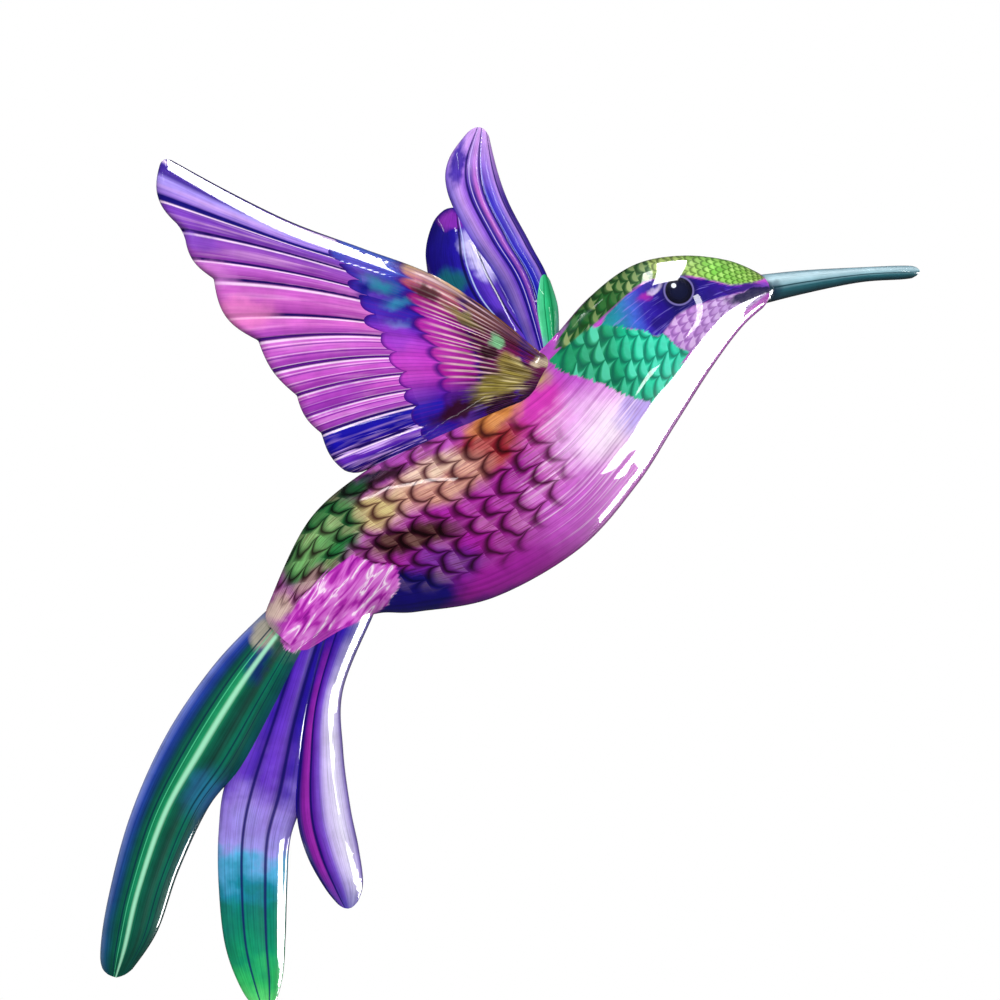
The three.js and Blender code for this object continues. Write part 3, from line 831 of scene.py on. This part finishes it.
def printBody():
    paint = startPrint("sublimationPrintBody")
    tree = paint["tree"]
    colour = bandsAlong(paint, paint["along"], [(0.0, "#c050c8"), (0.5, "#b84cc0"), (1.0, "#a838a8")])
    colour = washes(paint, colour, bodyPrint["spots"])
    colour = mottle(paint, colour, 8, 0.12)
    colour = printOver(paint, colour, strokes(paint, 60, 5, 0.48, 0.72), "#98209c", 0.55, "MULTIPLY")
    down = (strokes(paint, 75, 6, 0.52, 0.68, 9), patch(paint, bodyPrint["down"]))
    colour = printOver(paint, colour, down, "#ffe6ff", 0.6)
    # the body's ribs lean, so this is the place along it square to its length
    run = addNode(tree, "Math", {"operation": "MULTIPLY_ADD", 1: bodyPrint["lean"]},
                  {0: paint["across"], 2: paint["along"]})
    edge, middle, _, tone = scales(paint, run, paint["across"], **bodyPrint["rows"])
    scaled = addNode(tree, "Math", {"operation": "MAXIMUM"},
                     {i: patch(paint, spot) for i, spot in enumerate(bodyPrint["scaled"])})
    colour = printOver(paint, colour, (middle, scaled, tone), "#8a6c5c", 0.7, "SCREEN")
    dark = addNode(tree, "Math", {"operation": "SUBTRACT", 0: 1.0}, {1: middle})
    colour = printOver(paint, colour, (dark, scaled), "#a04868", 0.5, "MULTIPLY")
    barbs = strokes(paint, 110, 16, 0.5, 0.62, 3)
    colour = printOver(paint, colour, (barbs, middle, scaled), "#8a3040", 0.6, "MULTIPLY")
    colour = printOver(paint, colour, (edge, scaled), "#58103c", 0.95, "MULTIPLY")
    for name, inks in headInks.items():
        colour = headArea(paint, colour, name, inks)
    colour = printTuft(paint, colour)
    colour = washes(paint, colour, bodyPrint["marks"])
    for radius, hexColour, soft in eye["rings"]:
        colour = printOver(paint, colour, disc(paint, eye["at"], radius, soft), hexColour)
    glint = disc(paint, eye["glintAt"], eye["glint"], 0.3)
    colour = printOver(paint, colour, glint, "#eef4ff")
    return finishPrint(paint, colour)


eye = {
    "at": (676, 294),
    # radius in steps, ink, and how soft the ring's edge is
    "rings": [(17.5, "#120c50", 3.0), (14.8, "#8a80c8", 0.8), (13.8, "#06061c", 0.8), (9.0, "#0c1030", 3.0)],
    "glintAt": (671, 289),
    "glint": 2.4,
}


def disc(paint, place, radius, soft):
    tree = paint["tree"]
    x, z = onBird(*place)
    scale = picture["step"]
    off = addNode(tree, "VectorMath", {"operation": "DISTANCE", 1: (x, z, 0)},
                  {0: paint["flat"]}, "Value")
    return addNode(tree, "MapRange",
                   {"From Min": (radius + soft) * scale, "From Max": (radius - soft) * scale}, {0: off})


# Each area of the head: its inks from the beak on, the dark edges and light middles of its feathers,
# and their size: 38 rows to the body's length are 5.7 mm each, 9 cells to its width 4 mm
headInks = {
    "mask": {"bands": [(0.05, "#6a3aa8"), (0.12, "#3a1498"), (0.2, "#1c0a78"), (0.27, "#0e0660"),
                       (0.31, "#220a84"), (0.34, "#3020a0"), (0.365, "#3a5cc4"), (0.4, "#1a7c9c"),
                       (0.44, "#0c8c80")], "rough": 1.8, "strokes": "#8c7ce0"},
    "gorget": {"bands": [(0.16, "#1ca894"), (0.24, "#0cb490"), (0.32, "#12c49c"), (0.38, "#10b88c"),
                         (0.44, "#0a8454")], "ink": "#044a44", "cells": 9, "rows": 38, "rough": 1.8,
               "light": "#6cf0cc"},
    "cheek": {"bands": [(0.05, "#bfa6da"), (0.25, "#b078c8")], "ink": "#80509c", "cells": 16, "rows": 40,
              "rough": 0.8, "light": "#e4d0f0"},
    "crown": {"bands": [(0.0, "#6a7434"), (0.06, "#78a844"), (0.16, "#7cc84c"), (0.24, "#8aa04c")],
              "ink": "#2e4a1a", "cells": 15, "rows": 64, "rough": 0.7, "light": "#c8f088"},
    "nape": {"bands": [(0.16, "#8a9a4c"), (0.24, "#6a8440"), (0.3, "#3c7040"), (0.36, "#0a5a24")],
             "ink": "#1e3414", "cells": 13, "rows": 48, "rough": 0.9, "light": "#c8cc88"},
}


def areaMask(paint, name, rough):
    # Where a broad area lies, with an edge frayed along the feathers, rough mm either way
    tree = paint["tree"]
    distance = addNode(tree, "Attribute", {"attribute_name": name}, out="Fac")
    run = addNode(tree, "VectorMath", {"operation": "MULTIPLY", 1: (14, 70, 0)},
                  {0: paint["feather"]})    # about 15 by 1 mm
    frayed = addNode(tree, "TexNoise", {"Scale": 1.0, "Detail": 2.0}, {"Vector": run})
    frayed = addNode(tree, "Math", {"operation": "MULTIPLY_ADD", 1: 2 * rough, 2: -rough},
                     {0: frayed})
    distance = addNode(tree, "Math", {"operation": "ADD"}, {0: distance, 1: frayed})
    return addNode(tree, "MapRange", {"From Min": -0.3, "From Max": 0.5}, {0: distance})


def headArea(paint, colour, name, inks):
    own = bandsAlong(paint, paint["along"], inks["bands"])
    own = mottle(paint, own, 4, 0.2)
    if "rows" in inks:
        edge, middle, _, tone = scales(paint, paint["along"], paint["across"], inks["rows"],
                                       inks["cells"], 0.85, 0.14, 0.3)
        own = printOver(paint, own, (middle, tone), inks["light"], 0.5, "SCREEN")
        own = printOver(paint, own, edge, inks["ink"], 0.75)
    else:
        own = printOver(paint, own, strokes(paint, 60, 14, 0.58, 0.7), inks["strokes"], 0.5)
    return printOver(paint, colour, areaMask(paint, name, inks["rough"]), own)


# Curled pink down where the tail leaves the body
tuft = {
    "curl": (11, 2.2),           # mm, along and across
    "turn": 52,                  # degrees up from the right
    "rough": 1.4,                # mm that its edge frays
    "bands": [(0.3, "#8a1490"), (0.4, "#b42cb0"), (0.5, "#d468d0"), (0.58, "#dc84d8"), (0.64, "#fae8f8"),
              (0.7, "#d060cc")],
}


def printTuft(paint, colour):
    tree = paint["tree"]
    combed = addNode(tree, "Mapping", {"vector_type": "TEXTURE", "Scale": (*tuft["curl"], 1),
                                       "Rotation": (0, 0, math.radians(tuft["turn"]))},
                     {"Vector": paint["flat"]})
    curls = addNode(tree, "TexNoise", {"Scale": 1.0, "Detail": 2.0, "Distortion": 0.7},
                    {"Vector": combed})
    own = bandsAlong(paint, curls, tuft["bands"])
    return printOver(paint, colour, areaMask(paint, "tuft", tuft["rough"]), own)


def printStripes(name, look):
    # A long feather printed in stripes from side to side, with others along it, and dark quills
    paint = startPrint(name)
    tree = paint["tree"]
    colour = bandsAlong(paint, paint["across"], look["bands"])
    wave = addNode(tree, "TexNoise", {"Scale": 0.1, "Detail": 3.0}, {"Vector": paint["flat"]})
    drift = addNode(tree, "Math", {"operation": "MULTIPLY_ADD", 1: 0.2, 2: -0.1}, {0: wave})
    length = addNode(tree, "Math", {"operation": "ADD"}, {0: paint["along"], 1: drift})
    if "lengthwise" in look:
        over = bandsAlong(paint, length, look["lengthwise"])
        colour = printOver(paint, colour, bandsAlong(paint, length, look["shares"]), over)
    colour = washes(paint, colour, look.get("spots", {}))
    colour = mottle(paint, colour, 8, 0.14)
    colour = printOver(paint, colour, strokes(paint, 40, 5, 0.45, 0.75), look["ink"], 0.4, "MULTIPLY")
    for place, half in look["quills"]:
        quill = between(paint, paint["across"], place - half, place + half, half * 0.6)
        colour = printOver(paint, colour, quill, look["ink"], 0.9)
    # thin lines along a feather; on the left tail feather the pale mint one is a painted highlight along its
    # ridge
    for place, half, hexColour in look.get("lines", ()):
        line = between(paint, paint["across"], place - half, place + half, half * 0.7)
        colour = printOver(paint, colour, line, hexColour, 0.8)
    if look.get("tuft"):
        colour = printTuft(paint, colour)
    return finishPrint(paint, colour)


stripes = {
    "tailLeft": {
        "bands": [(0.0, "#9aa4e6"), (0.05, "#6a78d0"), (0.11, "#2438a4"), (0.18, "#102a70"),
                  (0.24, "#084440"), (0.36, "#0e7a50"), (0.46, "#24a468"), (0.55, "#0a5a44"),
                  (0.66, "#063c34"), (0.78, "#0a7458"), (0.88, "#085248"), (1.0, "#0a3c50")],
        "lengthwise": [(0.0, "#a8a498"), (0.1, "#8a9088"), (0.2, "#0a5a50"), (0.6, "#0c6a54"),
                       (1.0, "#084a3c")],
        "shares": [(0.02, 0.9), (0.1, 0.7), (0.2, 0.1), (0.6, 0.15), (0.8, 0.6), (1.0, 0.9)],
        "spots": {
            "greyRoot": ("#a09a8c", 0.95, 266, 634, 18, 24, -30),
            "tealRight": ("#2a70a8", 0.6, 205, 790, 40, 26, 55, 0.9),
            "navyRoot": ("#0e1470", 0.8, 262, 660, 14, 30, -30),
        },
        "quills": [(0.3, 0.012), (0.78, 0.01), (0.86, 0.006)],
        # the first line, pale mint along the feather's ridge, is a painted highlight; the second is a thin
        # green line of the print
        "lines": [(0.47, 0.032, "#a8ecc8"), (0.36, 0.006, "#4ac890")],
        "ink": "#062a40",
        "tuft": True,
    },
    "tailMiddle": {
        "bands": [(0.0, "#4a20b4"), (0.14, "#6a3ac8"), (0.3, "#3414a0"), (0.36, "#120868"),
                  (0.45, "#5c2cbc"), (0.6, "#6c3cc4"), (0.68, "#120868"), (0.8, "#2410a0"),
                  (1.0, "#30149c")],
        "lengthwise": [(0.0, "#160a90"), (0.2, "#2a0ea0"), (0.33, "#6c40c4"), (0.43, "#a48ce4"),
                       (0.52, "#a8a0f0"), (0.57, "#58b4e0"), (0.62, "#1a90a8"), (0.67, "#04806c"),
                       (0.78, "#0c9a68"), (0.86, "#30c468"), (0.95, "#6ce47c")],
        "shares": [(0.0, 0.6), (0.2, 0.2), (0.36, 0.4), (0.43, 0.75), (0.52, 0.85), (0.62, 0.95),
                   (1.0, 1.0)],
        "spots": {"magentaRoot": ("#a8249c", 0.8, 262, 690, 14, 66, -18)},
        "quills": [(0.36, 0.02), (0.7, 0.022)],
        "ink": "#0e0660",
        "tuft": True,
    },
    "tailRight": {
        # the near-white bands from 0.6 to 0.94 across are a painted reflection on the feather's right half;
        # the tails box gives a real reflection there too
        "bands": [(0.0, "#140a8c"), (0.07, "#100874"), (0.14, "#8a1c9c"), (0.26, "#a02ca8"),
                  (0.3, "#160a74"), (0.36, "#6420ac"), (0.48, "#8458d0"), (0.6, "#d4c4f4"),
                  (0.8, "#f0eaff"), (0.94, "#c8b8f0"), (1.0, "#8a70d8")],
        "lengthwise": [(0.0, "#120894"), (0.3, "#2a10a0"), (0.7, "#4a20b0"), (1.0, "#5a58c8")],
        "shares": [(0.0, 1.0), (0.14, 0.95), (0.32, 0.15), (0.75, 0.1), (1.0, 0.85)],
        "quills": [(0.3, 0.02), (0.05, 0.02)],
        "ink": "#160860",
        "tuft": True,
    },
    "farWing": {
        "bands": [(0.0, "#3a22b0"), (0.08, "#9a84e4"), (0.2, "#c89cec"), (0.3, "#9c64dc"),
                  (0.37, "#2810a0"), (0.46, "#140a88"), (0.53, "#d070d4"), (0.6, "#2410a8"),
                  (0.7, "#0e1cb4"), (0.8, "#6a5cd4"), (0.87, "#b890e8"), (0.93, "#1c0874"),
                  (1.0, "#2c1490")],
        "lengthwise": [(0.0, "#e0b0f8"), (0.3, "#a878e4"), (0.7, "#1e14a4"), (1.0, "#10088c")],
        "shares": [(0.0, 0.9), (0.2, 0.6), (0.4, 0.1), (0.7, 0.4), (1.0, 0.8)],
        "spots": {"indigoTip": ("#2a10a0", 0.9, 459, 165, 9, 34, -10)},
        "quills": [(0.36, 0.02), (0.62, 0.02), (0.9, 0.015)],
        "lines": [(0.42, 0.008, "#c8b8f4"), (0.66, 0.006, "#8a9cf0")],
        "ink": "#160664",
    },
    "farLobe": {
        "bands": [(0.0, "#100664"), (0.25, "#140880"), (0.5, "#2010a0"), (0.75, "#5c34bc"),
                  (1.0, "#160a84")],
        "spots": {
            "magentaTop": ("#8a28b0", 0.8, 452, 222, 16, 12, 0),
            "lilacCentre": ("#d4ccff", 1.0, 480, 258, 17, 36, 35),
            "tealLeaf": ("#0c5c64", 0.9, 452, 284, 20, 22, 30),
            "navyRoot": ("#0c0650", 0.8, 490, 320, 30, 14, -40),
        },
        "quills": [(0.5, 0.02), (0.8, 0.02)],
        "lines": [(0.56, 0.01, "#b8c8f4")],
        "ink": "#0a0448",
    },
    "shoulder": {
        "bands": [(0.0, "#5fd8a0"), (0.4, "#2fbf80"), (0.7, "#0a8a50"), (1.0, "#5fe0a8")],
        "spots": {"paleBlue": ("#8ab8e8", 0.8, 532, 345, 17, 15, 0)},
        "quills": [(0.35, 0.03), (0.7, 0.03)],
        "ink": "#0a7a48",
    },
    "beak": {
        "bands": [(0.0, "#7aa0b0"), (0.25, "#b4d0da"), (0.5, "#84acb8"), (0.68, "#2c6874"),
                  (1.0, "#103c48")],
        "spots": {"darkBase": ("#0a1c3a", 0.95, 760, 294, 26, 18, 0)},
        "quills": [(0.55, 0.03)],
        "ink": "#0c3640",
    },
}


# The two plain finishes: two tones of one colour, mixed by a soft grain that also varies the gloss
plainFinishes = {
    # Electro-galvanised steel as rolled: a satin blue-grey metal with a faint grain along the strip
    "strap": {
        "name": "galvanisedSteelSatin",
        "grain": (1.1, 1.1, 17),     # mm, drawn coarser than the real one so that it shows
        "dark": "#7f8488",
        "pale": "#989da1",
        "rough": (0.62, 0.75),
        "metallic": 1.0,
        "specular": 0.5,
    },
    # Epoxy back coat, rolled thin on the steel before it is pressed: matt light grey, hardly any sheen
    # and slightly cloudy where it is thinner
    "back": {
        "name": "epoxyBackCoatRolled",
        "grain": (22, 22, 22),       # mm
        "dark": "#c6c9c8",
        "pale": "#d4d6d5",
        "rough": (0.5, 0.62),
        "metallic": 0.0,
        "specular": 0.3,
    },
}


def plainFinish(look):
    material, tree, shader = startMaterial(look["name"])
    at = addNode(tree, "TexCoord", out="Object")
    perMetre = [1 / (length * mm) for length in look["grain"]]
    at = addNode(tree, "VectorMath", {"operation": "MULTIPLY", 1: perMetre}, {0: at})
    grain = addNode(tree, "TexNoise", {"Scale": 1.0, "Detail": 3.0}, {"Vector": at})
    rough = addNode(tree, "MapRange", {"To Min": look["rough"][0], "To Max": look["rough"][1]}, {0: grain})
    tree.links.new(rough, shader.inputs["Roughness"])
    tint = addNode(tree, "Mix", {"data_type": "RGBA", 6: linear(look["dark"]), 7: linear(look["pale"])},
                   {0: grain}, 2)
    tree.links.new(tint, shader.inputs["Base Color"])
    shader.inputs["Metallic"].default_value = look["metallic"]
    shader.inputs["Specular IOR Level"].default_value = look["specular"]
    return material


materials = {"nearWing": printNearWing(), "body": printBody(), "back": plainFinish(plainFinishes["back"])}
for name, look in stripes.items():
    materials[name] = printStripes("sublimationPrint" + name[0].upper() + name[1:], look)
print("finishes:", len(materials), "on the bird")
piece = makeBird(materials)
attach(piece, "root")
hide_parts("pressed_bird")
print("bird:", len(piece.data.polygons), "faces")
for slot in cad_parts["hanging_strap"].material_slots:
    slot.material = plainFinish(plainFinishes["strap"])
print("strap: steel")

studio = {
    "cameraLens": 100.0,
    "frameWidth": 0.3423,        # of the wall, in metres, across the picture
    "middle": (0.0312, -0.0410),    # of the picture, in metres from the strap
    "bodyFront": -0.01,          # what the lights aim at, in metres out from the wall
    "floorDrop": 1.1,
    "floorSize": 6.0,
    "floorGlow": 0.4,            # for the light that the lacquer's boxes would give the floor
    "fill": 0.42,                # the white room's light on the bird
    "shine": 0.03,               # the same room, as the lacquer mirrors it: it is darker than the boxes
    # clock: which way a light stands from the bird, seen from the front, in degrees up from the right.
    # tilt: how far it stands round from straight in front. away: metres, from the picture's middle or
    # from the place in "over". long and wide: degrees that it covers, along the tilt and across it.
    # glow: watts for each square metre.
    "lamps": {
        "frontLeft": {"clock": 130, "tilt": 45, "away": 1.8, "long": 40, "wide": 40, "glow": 13.5},
        "frontRight": {"clock": 20, "tilt": 40, "away": 1.8, "long": 40, "wide": 40, "glow": 10},
    },
    # bright boxes that only the lacquer mirrors, each named for the highlight that it gives
    "boxes": {
        "throat": {"clock": -17, "tilt": 92, "away": 2.0, "long": 70, "wide": 13, "glow": 110},
        "breast": {"clock": -27.5, "tilt": 104, "away": 2.0, "long": 52, "wide": 8, "glow": 110},
        "belly": {"clock": -36, "tilt": 119, "away": 2.0, "long": 16, "wide": 8, "glow": 90},
        "wingEdge": {"over": (350, 250), "clock": 81, "tilt": 84, "away": 0.55, "long": 60, "wide": 13,
                     "glow": 80},
        "tails": {"over": (340, 760), "clock": -12, "tilt": 77, "away": 1.0, "long": 42, "wide": 18,
                  "glow": 80},
        "brow": {"clock": 24, "tilt": 31, "away": 2.0, "long": 3, "wide": 30, "glow": 50},
        "nape": {"clock": 101, "tilt": 77, "away": 2.0, "long": 24, "wide": 5, "glow": 40},
        "side": {"clock": 136, "tilt": 50, "away": 2.0, "long": 44, "wide": 1.2, "glow": 30},
    },
}


def placeLight(name, light, mirrored):
    clock, tilt = math.radians(light["clock"]), math.radians(light["tilt"])
    out = Vector((math.sin(tilt) * math.cos(clock), -math.cos(tilt), math.sin(tilt) * math.sin(clock)))
    along = Vector((math.cos(tilt) * math.cos(clock), math.sin(tilt), math.cos(tilt) * math.sin(clock)))
    data = bpy.data.lights.new(name, "AREA")
    data.shape = "RECTANGLE"
    data.size, data.size_y = [2 * light["away"] * math.tan(math.radians(light[side] / 2))
                              for side in ("long", "wide")]
    data.energy = light["glow"] * data.size * data.size_y
    lamp = bpy.data.objects.new(name, data)
    bpy.context.scene.collection.objects.link(lamp)
    x, z = [step * mm for step in onBird(*light["over"])] if "over" in light else studio["middle"]
    place = Vector((x, studio["bodyFront"], z)) + out * light["away"]
    turn = Matrix((along, out.cross(along), out)).transposed().to_4x4()
    lamp.matrix_world = Matrix.Translation(place) @ turn
    lamp.visible_glossy, lamp.visible_diffuse, lamp.visible_camera = mirrored, not mirrored, False


def setStudio():
    scene = bpy.context.scene
    scene.view_settings.view_transform = "Standard"
    x, z = studio["middle"]
    for name, light in studio["lamps"].items():
        placeLight(name + "Lamp", light, False)
    for name, light in studio["boxes"].items():
        placeLight(name + "Box", light, True)
    world = bpy.data.worlds.new("studio")
    scene.world = world
    world.use_nodes = True
    tree = world.node_tree
    background = tree.nodes["Background"]
    seen = addNode(tree, "LightPath").node
    soft = addNode(tree, "MapRange", {"To Min": studio["shine"], "To Max": studio["fill"]},
                   {"Value": seen.outputs["Is Diffuse Ray"]})
    strength = addNode(tree, "Mix", {"data_type": "FLOAT", 3: 1.0},
                       {0: seen.outputs["Is Camera Ray"], 2: soft})
    background.inputs["Color"].default_value = (1, 1, 1, 1)
    tree.links.new(strength, background.inputs["Strength"])
    camera = bpy.data.objects.new("camera", bpy.data.cameras.new("camera"))
    camera.data.lens = studio["cameraLens"]
    scene.collection.objects.link(camera)
    away = studio["frameWidth"] * studio["cameraLens"] / camera.data.sensor_width
    camera.location = (x, -away, z)
    camera.rotation_euler = (math.radians(90), 0, 0)
    camera.data.clip_start = 0.01
    scene.camera = camera
    bpy.ops.mesh.primitive_plane_add(size=studio["floorSize"], location=(x, 0, z - studio["floorDrop"]))
    floor = bpy.context.object
    floor.name = "floor"
    paint, _, shader = startMaterial("studioFloorPaintMatt")
    shader.inputs["Base Color"].default_value = linear("#f4f3f1")
    shader.inputs["Roughness"].default_value = 0.9
    shader.inputs["Specular IOR Level"].default_value = 0.1
    shader.inputs["Emission Color"].default_value = (1, 1, 1, 1)
    shader.inputs["Emission Strength"].default_value = studio["floorGlow"]
    floor.data.materials.append(paint)
    floor.visible_glossy = False     # a shaded corner of the studio, as the lacquer sees it
    floor.visible_diffuse = False    # so that its glow doesn't light the bird from below


setStudio()
print("studio:", len(studio["lamps"]), "lamps and", len(studio["boxes"]), "boxes")
